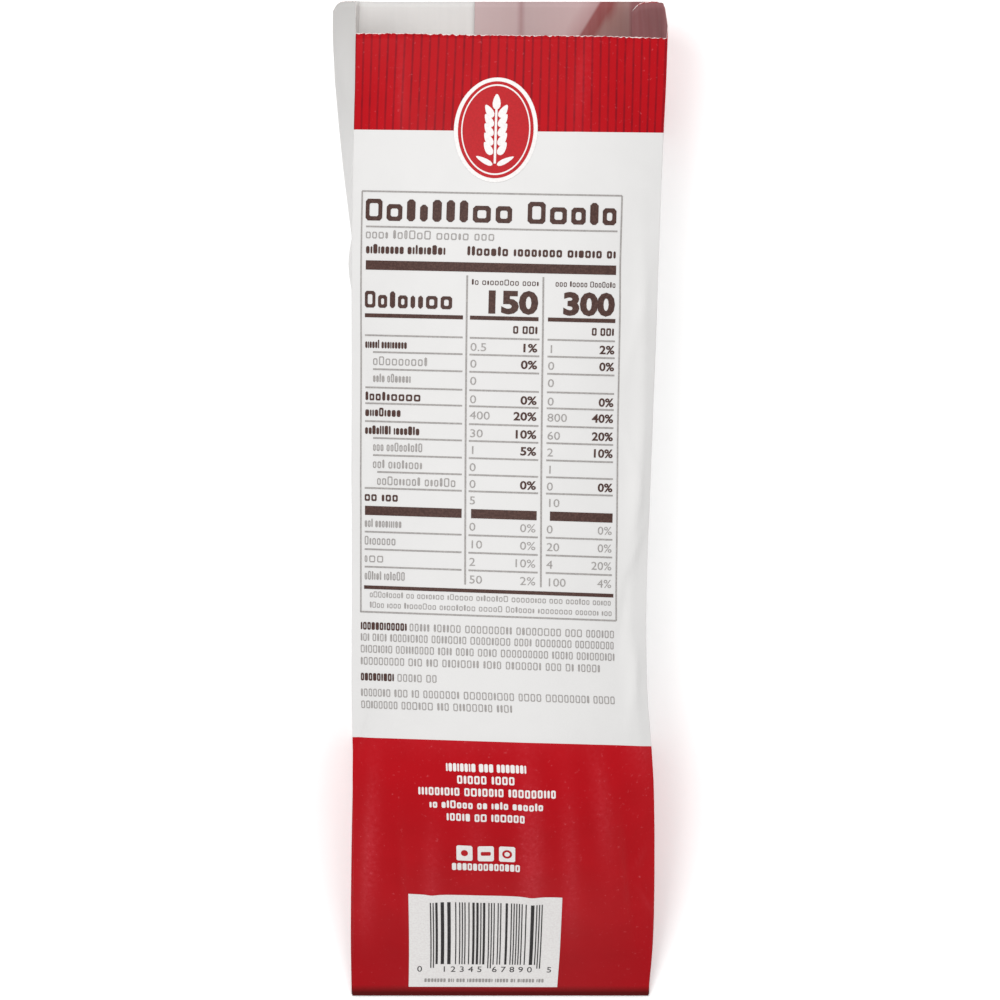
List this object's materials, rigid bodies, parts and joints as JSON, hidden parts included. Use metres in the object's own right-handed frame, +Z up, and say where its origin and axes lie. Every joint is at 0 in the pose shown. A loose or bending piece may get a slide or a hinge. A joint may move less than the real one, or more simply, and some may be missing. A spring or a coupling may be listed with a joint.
{
  "type": "baguette in a paper bag",
  "caption": "Small baguette in a side-gusseted paper bag, printed red and white, lying on its front panel with its mouth open and its sealed end folded under.",
  "frame": {"origin": "middle of the base, on the surface that the bag lies on", "axes": "+Y along the bag from the folded end to the mouth, +Z up from the front panel to the printed back panel, +X across to the right when the printed back is seen with the mouth up"},
  "size_m": [0.087, 0.2641, 0.0482],
  "materials": {
    "printed_paper": "satin",
    "crust": "matte"
  },
  "bodies": {
    "root": {"back_panel": "printed_paper", "front_panel": "printed_paper", "left_gusset_back_leaf": "printed_paper", "left_gusset_front_leaf": "printed_paper", "right_gusset_back_leaf": "printed_paper", "right_gusset_front_leaf": "printed_paper", "bottom_fold": "printed_paper", "baguette": "crust"}
  },
  "joints": []
}
